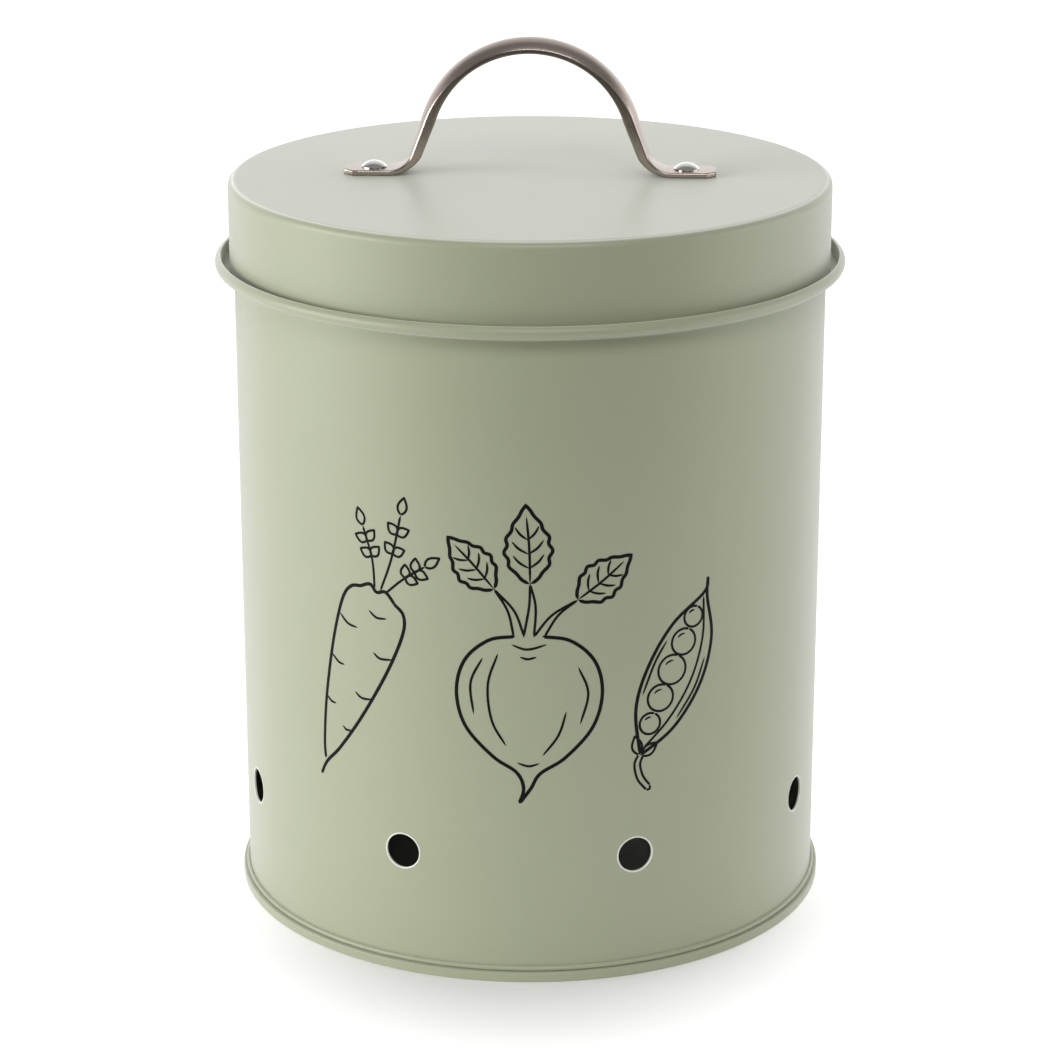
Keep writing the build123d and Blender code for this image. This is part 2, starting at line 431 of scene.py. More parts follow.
def mottled(name, colours, size, detail, finish, depth=0.0):
    """A material whose tint drifts with a noise, and whose skin rises by a depth with it."""
    material, tree, place = new_material(name)
    noise = add_node(
        tree, "ShaderNodeTexNoise", {"Vector": place, "Scale": 1 / (size * MM), "Detail": detail}
    ).outputs["Fac"]
    tint = add_node(tree, "ShaderNodeMix", between(noise, *colours), data_type="RGBA")
    inputs = {"Base Color": tint.outputs[2], **finish}
    if depth:
        inputs["Normal"] = add_node(
            tree, "ShaderNodeBump", {"Height": noise, "Distance": depth * MM, "Strength": 1.0}
        ).outputs["Normal"]
    shader = add_node(tree, "ShaderNodeBsdfPrincipled", inputs)
    add_node(tree, "ShaderNodeOutputMaterial", {"Surface": shader.outputs["BSDF"]})
    return material


nickel_finish = {"Metallic": 1.0, "Roughness": 0.12}
zinc_finish = {"Metallic": 1.0, "Roughness": 0.34}
ink_finish = {"Roughness": 0.6, "IOR": 1.45, "Specular IOR Level": 0.15}
BRIGHT_NICKEL = mottled(
    "nickel_plated_steel", ("#D6D4CF", "#E6E4E0"), DENT, 1.5, nickel_finish, NICKEL_DENTS
)
ZINC = mottled("zinc_plated_steel", ("#A9ADB2", "#BFC2C4"), DENT, 1.5, zinc_finish, ZINC_DENTS)
SCREEN_INK = mottled("black_screen_ink", ("#050505", "#0C0C0C"), MOTTLE, 2.0, ink_finish)
print("made", BRIGHT_NICKEL.name, ZINC.name, SCREEN_INK.name)

# %% [markdown]
# The body is one sheet, rolled to a tube. At the mouth it turns outwards into a gutter and up
# again into a collar, whose edge is rolled over outside to a half-round bead. Near the foot a
# smaller bead is folded outwards. Its section is cut in two at the band of vent holes: one line
# runs from the band up the outside, round the collar and down the inside, another from the
# band down the inside, under the foot and up over the bead.

# %% The sections of the body wall
BAND_HALF = 11.0
band_bottom = VENT_HEIGHT - BAND_HALF
band_top = VENT_HEIGHT + BAND_HALF
wall_inner = WALL_RADIUS - SHEET
wall_foot = SHEET + FOLD_CLEARANCE
wall_flare = GUTTER_FLOOR - SHEET
collar_inner = COLLAR_RADIUS - COLLAR_THICKNESS
collar_top = GUTTER_FLOOR + COLLAR_HEIGHT
roll_level = collar_top - ROLL_RADIUS
roll_centre = COLLAR_RADIUS - ROLL_RADIUS
bead_level = RIM_HEIGHT + BEAD_GAP + BEAD_RADIUS
bead_centre = WALL_RADIUS + BEAD_PROUD - BEAD_RADIUS


def arc(across, up, radius, first, last, steps):
    """Points of a circular arc: the centre plus radius x (cos a, sin a)."""
    angles = np.linspace(first, last, steps + 1)
    return np.stack([across + radius * np.cos(angles), up + radius * np.sin(angles)], axis=1)


# The roll starts at the sheet's outer side and ends just before its edge over the gutter
ROLL_END = math.radians(76)
EDGE_DROP = 0.02
roll_start = -math.acos((collar_inner + SHEET - roll_centre) / ROLL_RADIUS)
roll = arc(roll_centre, roll_level, ROLL_RADIUS, roll_start, ROLL_END, 28)
mouth_section = rounded_line(
    [
        (WALL_RADIUS, band_top, 0),
        (WALL_RADIUS, wall_flare, FLARE_RADIUS),
        (collar_inner + SHEET, wall_flare, COLLAR_EDGE),
        *[(*point, 0) for point in roll],
        (collar_inner, collar_top - EDGE_DROP, COLLAR_EDGE),
        (collar_inner, GUTTER_FLOOR, GUTTER_BEND),
        (wall_inner, GUTTER_FLOOR, FLARE_RADIUS + SHEET),
        (wall_inner, band_top, 0),
    ]
)
# The bead is an arc of a circle that starts and ends on the wall
bead_reach = math.acos((WALL_RADIUS - bead_centre) / BEAD_RADIUS)
bead_arc = arc(bead_centre, bead_level, BEAD_RADIUS, -bead_reach, bead_reach, 20)
foot_section = np.vstack(
    [
        [(wall_inner, band_bottom), (wall_inner, wall_foot), (WALL_RADIUS, wall_foot)],
        bead_arc,
        [(WALL_RADIUS, band_bottom)],
    ]
)


# The pale edge marks are painted highlights, bright lines laid into the coat's colour
HIGHLIGHT_MOST = 0.9


def painted_highlight_share(section, across, up, reach):
    """The painted highlight along a section: its most at one place, 0 from a reach away on."""
    away = np.linalg.norm(section - np.array([across, up]), axis=1)
    return HIGHLIGHT_MOST * np.clip(1 - away / reach, 0, 1)


print(f"mouth section {len(mouth_section)} points, foot section {len(foot_section)} points")

# %% [markdown]
# A round hole in a rolled wall is awkward for a grid, and cutting it with a boolean leaves
# long thin faces that spoil the reflections. So each vent has a grid of its own, in which one
# parameter goes round the hole and the other from the edge of its share of the wall, over the
# lip, through the sheet and back out along the inside. Its outermost points are those of the
# sections above and below, and the weld joins them. The punch leaves a lip a tenth of a
# millimetre proud, and the lip is painted pale, a painted highlight round each hole.

# %% The band of vent holes
LIP_HEIGHT = 0.1
LIP_WIDTH = 0.42
COLLAR_LINE_WIDTH = 0.7
SIDE_STEPS = 12

half_share = math.pi * WALL_RADIUS / VENT_COUNT
across = np.linspace(-half_share, half_share, COLUMNS_PER_VENT + 1)
upward = np.linspace(-BAND_HALF, BAND_HALF, SIDE_STEPS + 1)
border = np.vstack(
    [
        np.stack([across[:-1], np.full(COLUMNS_PER_VENT, -BAND_HALF)], axis=1),
        np.stack([np.full(SIDE_STEPS, half_share), upward[:-1]], axis=1),
        np.stack([across[:0:-1], np.full(COLUMNS_PER_VENT, BAND_HALF)], axis=1),
        np.stack([np.full(SIDE_STEPS, -half_share), upward[:0:-1]], axis=1),
    ]
)
steps_round = len(border)
first_way = -math.pi / 2 - math.pi * COLUMNS_PER_VENT / steps_round
way_round = first_way + np.arange(steps_round) / steps_round * 2 * math.pi
circle = np.stack([np.cos(way_round), np.sin(way_round)], axis=1)

# Each row has a share of the border, a radius round the hole, a depth and a share of painted
# highlight
shares = np.array([1.0, 0.8, 0.6, 0.42, 0.28, 0.17, 0.08, 0.02, 0.0])
lip_turn = np.linspace(0, math.pi, 9)[1:]
lip_radius = VENT_RADIUS + LIP_WIDTH / 2 * (1 + np.cos(lip_turn))
lip_depth = -LIP_HEIGHT * np.sin(lip_turn)
through = np.linspace(0.15, 0.85, 3) * SHEET
flat_rows = len(shares)
lip_rows = len(lip_turn) + len(through)
row_share = np.concatenate([shares, np.zeros(lip_rows), shares[::-1]])
outer_radius = np.full(flat_rows, VENT_RADIUS + LIP_WIDTH)
inner_radius = np.full(len(through) + flat_rows, VENT_RADIUS)
row_radius = np.concatenate([outer_radius, lip_radius, inner_radius])
row_depth = np.concatenate([np.zeros(flat_rows), lip_depth, through, np.full(flat_rows, SHEET)])
# The lip's rows carry a painted highlight round the hole
row_highlight = np.concatenate([np.zeros(flat_rows), np.ones(lip_rows), np.zeros(flat_rows)])


def vent_surface(turn):
    """A share of the wall round one vent: (1 - share) x circle + share x border, rolled up."""
    flat = (1 - row_share)[:, None, None] * row_radius[:, None, None] * circle
    flat = flat + row_share[:, None, None] * border
    angle = turn + flat[..., 0] / WALL_RADIUS
    return round_axis(angle, WALL_RADIUS - row_depth[:, None], VENT_HEIGHT + flat[..., 1])


vent_turns = (np.arange(VENT_COUNT) + 0.5) / VENT_COUNT * 2 * math.pi
sections = (mouth_section, foot_section)
body_patches = [patch(turned(section, ROUND), round_rows=True) for section in sections]
body_patches += [patch(vent_surface(turn), round_columns=True) for turn in vent_turns]
# A painted highlight along the collar's top inner edge
mouth_highlight = painted_highlight_share(mouth_section, collar_inner, collar_top, COLLAR_LINE_WIDTH)
painted_edge_highlight = np.concatenate(
    [
        np.tile(mouth_highlight, COLUMNS),
        np.zeros(len(foot_section) * COLUMNS),
        np.tile(np.repeat(row_highlight, steps_round), VENT_COUNT),
    ]
)
add_piece(
    "rolled_body",
    body_patches,
    POWDER_COAT,
    "tin",
    nodes=["body_shell"],
    marks={"painted_edge_highlight": painted_edge_highlight},
)

# %% [markdown]
# The two edges of the rolled sheet are hooked into each other and pressed flat, which leaves a
# band down the back, a little proud of the wall. It is modelled as a flat bar with a
# superellipse for its section, sunk halfway into the wall and bent to its curve, whose ends
# fade into the sheet.

# %% The side seam
SEAM_WIDTH = 5.0
SEAM_PROUD = 0.3
SEAM_END_GAP = 1.0
SEAM_SQUARENESS = 8.0
SEAM_FADE = 0.8

seam_bottom = bead_level + BEAD_RADIUS + SEAM_END_GAP
seam_top = wall_flare - FLARE_RADIUS - SEAM_END_GAP


def seam_surface():
    """A superellipse, sign(c) x |c|^(2/n) each way, carried up the back of the wall."""
    turn = np.linspace(0, 2 * math.pi, 48, endpoint=False)
    cosine, sine = np.cos(turn), np.sin(turn)
    wide = SEAM_WIDTH / 2 * np.sign(cosine) * np.abs(cosine) ** (2 / SEAM_SQUARENESS)
    proud = SEAM_PROUD * np.sign(sine) * np.abs(sine) ** (2 / SEAM_SQUARENESS)
    fade = np.sin(np.linspace(0, math.pi / 2, 9))
    ends = SEAM_FADE * (1 - np.cos(np.linspace(0, math.pi / 2, 9)))
    height = np.concatenate([seam_bottom + ends, (seam_top - ends)[::-1]])
    scale = np.concatenate([fade, fade[::-1]])
    radius = WALL_RADIUS + np.outer(scale, proud)
    angle = math.pi + np.outer(scale, wide) / WALL_RADIUS
    return round_axis(angle, radius, height[:, None])


seam_patches = [patch(seam_surface(), round_columns=True)]
add_piece("side_seam", seam_patches, POWDER_COAT, "tin")

# %% [markdown]
# The base is a pressed plate. Its floor stands 3 mm above the table, its edge turns down to
# the ring that the tin stands on, and then folds up outside the foot of the wall. The neck is
# a plain hoop welded inside the mouth, with its upper edge curled inwards so that no hand
# meets raw sheet. Both are one line turned about the axis, and so is the lid below.

# %% Base plate and neck hoop


def add_turned(name, section, body, node, closed=False, marks=None):
    """A piece of coated sheet whose section is turned right round the tin's axis."""
    patches = [patch(turned(section, ROUND), round_rows=True, round_columns=closed)]
    add_piece(name, patches, POWDER_COAT, body, [node], marks)


fold_inner = wall_inner - FOLD_CLEARANCE
fold_outer = WALL_RADIUS + FOLD_CLEARANCE
floor_top = base_high[2]
floor_under = floor_top - SHEET
base_section = rounded_line(
    [
        (0, floor_under, 0),
        (fold_inner - SHEET, floor_under, 0),
        (fold_inner - SHEET, 0, FOLD_EDGE),
        (RIM_RADIUS, 0, RIM_EDGE),
        (RIM_RADIUS, RIM_HEIGHT, RIM_EDGE),
        (fold_outer, RIM_HEIGHT, 0),
        (fold_outer, SHEET, 0),
        (fold_inner, SHEET, 0),
        (fold_inner, floor_top, FOLD_EDGE),
        (0, floor_top, 0),
    ]
)
add_turned("pressed_base", base_section, "tin", "base_plate")

curl_level = neck_high[2] - NECK_CURL
curl_end = -math.acos((NECK_CURL - SHEET) / NECK_CURL)
curl_arc = arc(NECK_RADIUS - NECK_CURL, curl_level, NECK_CURL, 0, 2 * math.pi + curl_end, 24)
neck_section = np.vstack(
    [[(NECK_RADIUS, neck_low[2])], curl_arc, [(NECK_RADIUS - SHEET, neck_low[2])]]
)
add_turned("neck_hoop", neck_section, "tin", "neck_ring", closed=True)

# %% [markdown]
# The lid is a drawn cup: a flat top, an edge with a radius of about two millimetres that carries
# the bright line round the lid, and a skirt whose lower edge is hemmed inwards. Where the top
# turns into that edge the colour is painted pale, a painted highlight along that bright line.

# %% The lid
LID_LINE_WIDTH = 0.6
LID_LINE_INWARD = 0.6 * LID_EDGE
LID_LINE_DROP = 0.2

lid_inner = LID_RADIUS - SHEET
hem_inner = lid_inner - SHEET
hem_top = lid_low[2] + LID_HEM_HEIGHT
lid_section = rounded_line(
    [
        (0, lid_high[2], 0),
        (LID_RADIUS, lid_high[2], LID_EDGE),
        (LID_RADIUS, lid_low[2], HEM_BEND),
        (hem_inner, lid_low[2], HEM_BEND),
        (hem_inner, hem_top, 0),
        (lid_inner, hem_top, 0),
        (lid_inner, lid_high[2] - SHEET, LID_EDGE - SHEET),
        (0, lid_high[2] - SHEET, 0),
    ]
)
# The painted highlight lies on the crest of the lid's edge
lid_line = (LID_RADIUS - LID_LINE_INWARD, lid_high[2] - LID_LINE_DROP)
lid_highlight = painted_highlight_share(lid_section, *lid_line, LID_LINE_WIDTH)
lid_marks = {"painted_edge_highlight": np.tile(lid_highlight, COLUMNS)}
add_turned("drawn_lid", lid_section, "lid", "lid_shell", marks=lid_marks)

# %% [markdown]
# The bow handle is a half-round bar, bent to an arch with straight legs that lean outwards.
# Over the shoulders of the arch its crown is pressed flatter, the bend at the foot is pressed
# thin, and the last bit lies flat on the lid with its corners clipped. So three numbers, the
# width, the thickness and the crown, change along the bar. Its section is worked out from them
# and carried along the line of the crown, always square to it.

# %% The line of the handle's crown
ARCH_RADIUS = 32.2
LEG_LEAN = math.radians(18)
FOOT_BEND = 7.0
FLAT_START = math.radians(40)
TAB_CORNER = 2.6
END_EDGE = 0.25
# Width, thickness and crown of the bar on the arch, at the leg's start, at its end and at the tab
GRIP = (10.5, 4.0, 2.7)
LEG = (10.5, 4.2, 1.3)
FOOT = (11.0, 3.4, 0.6)
TAB = (handle_high[1] - handle_low[1], 1.6, 0.05)

tab_width, tab_thickness = TAB[:2]
lid_top = lid_high[2]
tab_top = lid_top + tab_thickness
tab_end = (handle_high[0] - handle_low[0]) / 2
arch_turn = math.pi / 2 - LEG_LEAN
arch_level = handle_high[2] - ARCH_RADIUS


def blend(first, last, share):
    """Rows of width, thickness and crown: first + share x (last - first)."""
    return np.array(first) + np.outer(share, np.array(last) - np.array(first))


def crown_line():
    """Half of the crown's line: its places, its outward ways and the three sizes there.

    The outward way at angle a is (sin a, cos a), across and up. The arch and the foot's bend
    are that way times a radius, added to or taken from their centres.
    """
    angles = np.linspace(0, arch_turn, 55)
    outward_ways = np.stack([np.sin(angles), np.cos(angles)], axis=1)
    arch = np.array([0, arch_level]) + ARCH_RADIUS * outward_ways
    pressed = np.clip((angles - FLAT_START) / (arch_turn - FLAT_START), 0, 1)
    arch_sizes = blend(GRIP, LEG, pressed)
    leg_way = np.array([math.sin(LEG_LEAN), -math.cos(LEG_LEAN)])
    bend_gap = FOOT_BEND * math.tan(arch_turn / 2)
    leg_length = (arch[-1, 1] - tab_top) / math.cos(LEG_LEAN) - bend_gap
    share = np.linspace(0, 1, 11)[1:]
    leg = arch[-1] + np.outer(share * leg_length, leg_way)
    leg_sizes = blend(LEG, FOOT, share)
    bend_end = leg[-1, 0] + bend_gap * (math.sin(LEG_LEAN) + 1)
    bend_angles = np.linspace(arch_turn, 0, 25)[1:]
    bend_ways = np.stack([np.sin(bend_angles), np.cos(bend_angles)], axis=1)
    bend = np.array([bend_end, tab_top + FOOT_BEND]) - FOOT_BEND * bend_ways
    bend_sizes = blend(TAB, FOOT, bend_angles / arch_turn)
    # The bar thins with the square of the angle, so that its underside stays above the lid
    bend_sizes[:, 1] = blend(TAB, FOOT, (bend_angles / arch_turn) ** 2)[:, 1]
    clip = np.linspace(tab_end - TAB_CORNER, tab_end - END_EDGE, 5)
    run = np.concatenate([np.linspace(bend_end, tab_end - TAB_CORNER, 7)[1:-1], clip])
    tab = np.stack([run, np.full(len(run), tab_top)], axis=1)
    places = np.vstack([arch, leg, bend, tab])
    leg_ways = np.tile(outward_ways[-1], (len(leg), 1))
    ways = np.vstack([outward_ways, leg_ways, bend_ways, np.tile([0.0, 1.0], (len(tab), 1))])
    sizes = np.vstack([arch_sizes, leg_sizes, bend_sizes, np.tile(TAB, (len(tab), 1))])
    return places, ways, sizes


places, ways, sizes = crown_line()
bar_length = np.concatenate([[0], np.cumsum(np.linalg.norm(np.diff(places, axis=0), axis=1))])
print(f"the crown's line has {len(places)} points a side and is {2 * bar_length[-1]:.1f} mm long")

# %% The handle's sections and its surface
CROWN_STEPS = 28
CROWN_EDGE = 0.8
BACK_EDGE = 0.45


def bar_section(width, thickness, crown):
    """Section of the bar, (across, up from the crown's top): a flat circular arc on a slab.

    The arc has radius (w^2 / 4 + c^2) / 2c, where w is the width and c the crown.
    """
    arc_radius = (width**2 / 4 + crown**2) / (2 * crown)
    reach = math.asin(min(1.0, width / 2 / arc_radius))
    angles = np.linspace(-reach, reach, CROWN_STEPS + 1)[::-1]
    crown_arc = [(arc_radius * math.sin(a), arc_radius * (math.cos(a) - 1), 0) for a in angles]
    edge = min(CROWN_EDGE, (thickness - crown) / 3)
    back = min(BACK_EDGE, (thickness - crown) / 3)
    crown_arc[0] = (*crown_arc[0][:2], edge)
    crown_arc[-1] = (*crown_arc[-1][:2], edge)
    back_corners = [(-width / 2, -thickness, back), (width / 2, -thickness, back)]
    return rounded_line(crown_arc + back_corners, closed=True)


def bar_surface():
    """Half of the bar: place + across x Y + up x outward, with its end rounded and closed.

    Returns the points, the same points in the straight bar, and the bar's way at each.
    """
    narrowing = 1 - np.clip(places[:, 0] - (tab_end - TAB_CORNER), 0, None) / (tab_width / 2)
    section = np.stack([bar_section(*row) for row in sizes])
    section[..., 0] *= narrowing[:, None]
    # The last rows shrink towards the middle of the end face and close it
    last = section[-1]
    middle = np.array([0.0, -tab_thickness / 2])
    quarter = np.linspace(0, math.pi / 2, 5)[1:]
    inset = END_EDGE * (1 - np.cos(quarter))
    shrink = np.stack([1 - inset / last[:, 0].max(), 1 - inset / (tab_thickness / 2)], axis=1)
    ends = middle + (last - middle) * shrink[:, None, :]
    section = np.concatenate([section, ends, np.tile(middle, (1, len(last), 1))])
    end_x = np.append(tab_end - END_EDGE + END_EDGE * np.sin(quarter), tab_end)
    end_places = np.stack([end_x, np.full(len(end_x), tab_top)], axis=1)
    all_places = np.vstack([places, end_places])
    all_ways = np.vstack([ways, np.tile([0.0, 1.0], (len(end_x), 1))])
    all_lengths = np.append(bar_length, bar_length[-1] + end_x - places[-1, 0])
    points = np.stack(
        [
            all_places[:, :1] + section[..., 1] * all_ways[:, :1],
            section[..., 0],
            all_places[:, 1:] + section[..., 1] * all_ways[:, 1:],
        ],
        axis=-1,
    )
    along = np.broadcast_to(all_lengths[:, None], section.shape[:2])
    straight = np.stack([along, section[..., 0], section[..., 1]], axis=-1)
    bar_way = np.stack([all_ways[:, 1], np.zeros(len(all_ways)), -all_ways[:, 0]], axis=1)
    bar_way = np.broadcast_to(bar_way[:, None, :], points.shape)
    return points, straight, bar_way


half_bar, half_straight, half_way = bar_surface()
mirrored = np.array([-1.0, 1.0, 1.0])
whole_bar = np.concatenate([(half_bar * mirrored)[:0:-1], half_bar])
straight_bar = np.concatenate([(half_straight * mirrored)[:0:-1], half_straight])
bar_way = np.concatenate([(half_way * mirrored)[:0:-1], half_way])
add_piece(
    "bow_handle",
    [patch(whole_bar, round_columns=True)],
    BRUSHED_STEEL,
    "lid",
    nodes=["handle"],
    marks={"straight_bar": straight_bar.reshape(-1, 3), "bar_way": bar_way.reshape(-1, 3)},
)

# %% [markdown]
# A domed rivet goes through each tab, the lid and a washer, and its tail is set against the
# washer. The dome is part of a sphere. Rivet and washer are again sections turned about an
# axis, made once and placed at both ends of the handle.

# %% Rivets and washers
SHANK_RADIUS = 2.0
HEAD_EDGE = 0.3
TAIL_RADIUS = 3.2
TAIL_EDGE = 0.4
WASHER_EDGE = 0.12
WASHER_CLEARANCE = 0.1

head_radius = (rivet_high[0] - rivet_low[0]) / 2
rivet_x = (rivet_high[0] + rivet_low[0]) / 2
dome_rise = rivet_high[2] - tab_top - HEAD_EDGE
dome_radius = (head_radius**2 + dome_rise**2) / (2 * dome_rise)
dome_across = head_radius * np.sin(np.linspace(0, math.pi / 2, 17))
dome = np.stack(
    [dome_across, rivet_high[2] - dome_radius + np.sqrt(dome_radius**2 - dome_across**2)],
    axis=1,
)
tail_section = rounded_line(
    [
        (head_radius, tab_top, 0),
        (SHANK_RADIUS, tab_top, 0),
        (SHANK_RADIUS, washer_low[2], 0),
        (TAIL_RADIUS, washer_low[2], 0),
        (TAIL_RADIUS, rivet_low[2], TAIL_EDGE),
        (0, rivet_low[2], 0),
    ]
)
rivet_section = np.vstack([dome, tail_section])
washer_outer = (washer_high[0] - washer_low[0]) / 2
washer_inner = SHANK_RADIUS + WASHER_CLEARANCE
washer_section = rounded_line(
    [
        (washer_outer, washer_low[2], WASHER_EDGE),
        (washer_outer, washer_high[2], WASHER_EDGE),
        (washer_inner, washer_high[2], WASHER_EDGE),
        (washer_inner, washer_low[2], WASHER_EDGE),
    ],
    closed=True,
)
COLUMNS_SMALL = 96
round_small = np.arange(COLUMNS_SMALL) / COLUMNS_SMALL * 2 * math.pi
for side, centre in (("left", -rivet_x), ("right", rivet_x)):
    add_piece(
        f"domed_rivet_{side}",
        [patch(turned(rivet_section, round_small, centre), round_rows=True)],
        BRIGHT_NICKEL,
        "lid",
        nodes=[f"rivet_{side}"],
    )
    add_piece(
        f"plain_washer_{side}",
        [patch(turned(washer_section, round_small, centre), round_rows=True, round_columns=True)],
        ZINC,
        "lid",
        nodes=[f"washer_{side}"],
    )

# %% [markdown]
# The tin carries a print in black line. Here it is a plain drawing of three vegetables, a
# carrot, a beetroot and a pea pod, made for this model. Each pen stroke is a short list of
# points on the unrolled wall with a smooth curve through them. Along that curve runs a flat
# ribbon with its underside just inside the coat, as wide as the stroke and narrower where
# the pen lifts, and the whole drawing is rolled onto the wall at the end.

# %% Pen strokes
INK_PROUD = 0.05
INK_SUNK = 0.03
INK_STEP = 0.002
BOLD = 1.0
FINE = 0.7
STEPS_PER_SPAN = 9
LEAF_FULLNESS = 0.8
RIBBON_ACROSS = np.array([-1.0, -1.0, -0.75, 0.75, 1.0, 1.0])
RIBBON_UP = np.array([-INK_SUNK, 0.6 * INK_PROUD, INK_PROUD, INK_PROUD, 0.6 * INK_PROUD, -INK_SUNK])


def smooth(points):
    """A Catmull-Rom curve: between two points it is the cubic that leaves each of them
    along the line between that point's neighbours."""
    points = np.array(points, float)
    padded = np.vstack([2 * points[0] - points[1], points, 2 * points[-1] - points[-2]])
    a, b, c, d = (padded[i : len(padded) - 3 + i, None] for i in range(4))
    t = np.linspace(0, 1, STEPS_PER_SPAN, endpoint=False)[None, :, None]
    spans = b + 0.5 * t * (c - a + t * (2 * a - 5 * b + 4 * c - d + t * (3 * (b - c) + d - a)))
    return np.vstack([spans.reshape(-1, 2), points[-1]])


def placed(line, origin, turn=0.0):
    """A line turned about its own origin and moved to its place on the wall."""
    cosine, sine = math.cos(turn), math.sin(turn)
    return np.array(origin) + np.asarray(line, float) @ [[cosine, sine], [-sine, cosine]]


def stroke(line, width, lift, proud):
    """A ribbon on the wall along a flat line. Its half width is w/2 x sqrt(q (2 - q)), where
    q is the distance from the nearer end over the length in which the pen lifts, up to 1."""
    way = np.gradient(line, axis=0)
    way /= np.linalg.norm(way, axis=1)[:, None]
    side = np.stack([-way[:, 1], way[:, 0]], axis=1)
    length = np.concatenate([[0], np.cumsum(np.linalg.norm(np.diff(line, axis=0), axis=1))])
    q = np.clip(np.minimum(length, length[-1] - length) / min(lift, length[-1] / 2), 0, 1)
    half_width = width / 2 * np.sqrt(q * (2 - q))
    flat_points = line[:, None] + side[:, None] * (half_width[:, None] * RIBBON_ACROSS)[..., None]
    angle = flat_points[..., 0] / WALL_RADIUS
    # It rises by a micrometre on its way, so that the weld can't join its two ends
    rise = 0.6 * INK_STEP * np.linspace(0, 1, len(line))[:, None]
    radius = WALL_RADIUS + RIBBON_UP + proud + rise
    return patch(round_axis(angle, radius, flat_points[..., 1]), round_columns=True)


drawing = []


def draw(lines, width, origin, turn=0.0, lift=None, curved=True):
    """Add strokes to the drawing, each placed and given its width."""
    for line in lines:
        line = smooth(line) if curved else line
        # Two micrometres more for each stroke keep the weld from joining two that meet
        proud = INK_STEP * (len(drawing) % 8)
        drawing.append(stroke(placed(line, origin, turn), width, lift or width / 2, proud))


def drop(length, half_width, ripples=0, ripple=0.0):
    """A leaf's outline from its base and back: up t x length, out half_width x sin(pi t^f),
    where f is its fullness, with ripples along its margin."""
    t = np.linspace(0, 1, 41)
    out = half_width * np.sin(math.pi * t**LEAF_FULLNESS)
    out = out * (1 + ripple * np.sin(ripples * math.pi * t))
    right = np.stack([out, length * t], axis=1)
    left = right[::-1] * np.array([-1, 1])
    return np.vstack([right, left[1:]])


print("strokes are", BOLD, "and", FINE, "mm wide and stand", INK_PROUD, "mm proud")

# %% The carrot
carrot_place = (-40, 111)
carrot_turn = math.radians(-20)
carrot_outline = [
    [
        (-5.5, -0.4), (-9, -2.6), (-10.4, -8), (-9.4, -21),
        (-6.4, -38), (-2.9, -51), (-0.6, -56.5),
    ],
    [
        (5, -0.2), (9, -2.2), (10.6, -8), (9.8, -21),
        (6.9, -37), (3.2, -50), (0.2, -57), (-0.6, -62),
    ],
    [(-6.2, -0.8), (-3.4, 1.4), (-0.8, 0.2), (1.8, 1.6), (5.6, -0.4)],
]
carrot_marks = [
    [(-9.9, -12), (-6.4, -13.4), (-3, -12.9)],
    [(10.2, -16), (6.6, -17.6), (4, -17)],
    [(-8.6, -25), (-5.6, -26.1), (-3.4, -25.7)],
    [(8.2, -30.5), (5, -31.8), (2.4, -31.2)],
    [(-6.2, -38), (-4.2, -38.8), (-2.4, -38.4)],
    [(5.2, -43), (3.4, -43.8), (1.8, -43.3)],
    [(4.6, -5.6), (1.6, -6.8), (-1.4, -6)],
]
carrot_stems = [
    [(-1.6, 0.8), (-5.2, 8.6), (-11.2, 16.4)],
    [(0.2, 1), (0.2, 12), (-1.4, 25)],
    [(1.8, 1.2), (5.4, 7.8), (10, 14.2)],
]
draw(carrot_outline, BOLD, carrot_place, carrot_turn)
draw(carrot_marks, FINE, carrot_place, carrot_turn, lift=2.5)
draw(carrot_stems, FINE, carrot_place, carrot_turn)
# Leaflets stand in pairs along each stem, with one at its end
LEAFLET_HALF = 1.35
LEAFLET_LEAN = 0.95
for stem in carrot_stems:
    line = smooth(stem)
    for share, size in ((0.58, 3.8), (0.8, 4), (1, 5)):
        at = int(share * (len(line) - 1))
        way = line[at] - line[at - 1]
        stem_turn = math.atan2(-way[0], way[1])
        for lean in (0,) if share == 1 else (-LEAFLET_LEAN, LEAFLET_LEAN):
            leaflet = placed(drop(size, LEAFLET_HALF), line[at], stem_turn + lean)
            draw([leaflet], FINE, carrot_place, carrot_turn, curved=False)
print(len(drawing), "strokes after the carrot")

# %% The beetroot
beet_place = (3, 84)
beet_outline = [
    [
        (-3.6, 18.6), (-11, 17.2), (-17.6, 11.2), (-20, 2), (-17.6, -8),
        (-10, -16.6), (-3.4, -21.2), (-1.4, -26), (-2.6, -30.5),
    ],
    [
        (3.6, 18.6), (11.6, 17), (18.2, 10.8), (20.4, 1.6), (17.8, -8.4),
        (10.2, -17), (3.2, -21.6), (0.6, -26), (-2.6, -30.5),
    ],
]
beet_marks = [
    [(-12.6, 12.2), (-16, 4.6), (-15.2, -4.6)],
    [(-8.4, 13.6), (-11.2, 4.4), (-10.2, -6), (-6.2, -13.6)],
    [(13.6, 9.4), (16.4, 1.6), (14.2, -7.6)],
    [(10.4, -3.4), (8.2, -10.4), (3.8, -16.4)],
    [(-3.2, -18.4), (0, -19.4), (3, -18.6)],
    [(-4.8, 16.2), (-0.4, 14.8), (5, 16.2)],
    [(-2.4, 12.6), (-0.2, 12), (2.2, 12.6)],
]
beet_leaves = [
    ([(-2.6, 18.4), (-4.8, 25.8), (-9.4, 32)], 42, 19, 5.4),
    ([(0, 18.2), (1, 27), (0.4, 33.6)], 3, 22.5, 6.2),
    ([(2.8, 18.4), (7.2, 24.6), (13.4, 28.8)], -52, 19, 5.4),
]
VEIN_REACH = 0.72
VEIN_RISE = 0.17
draw(beet_outline, BOLD, beet_place)
draw(beet_marks, FINE, beet_place, lift=4)
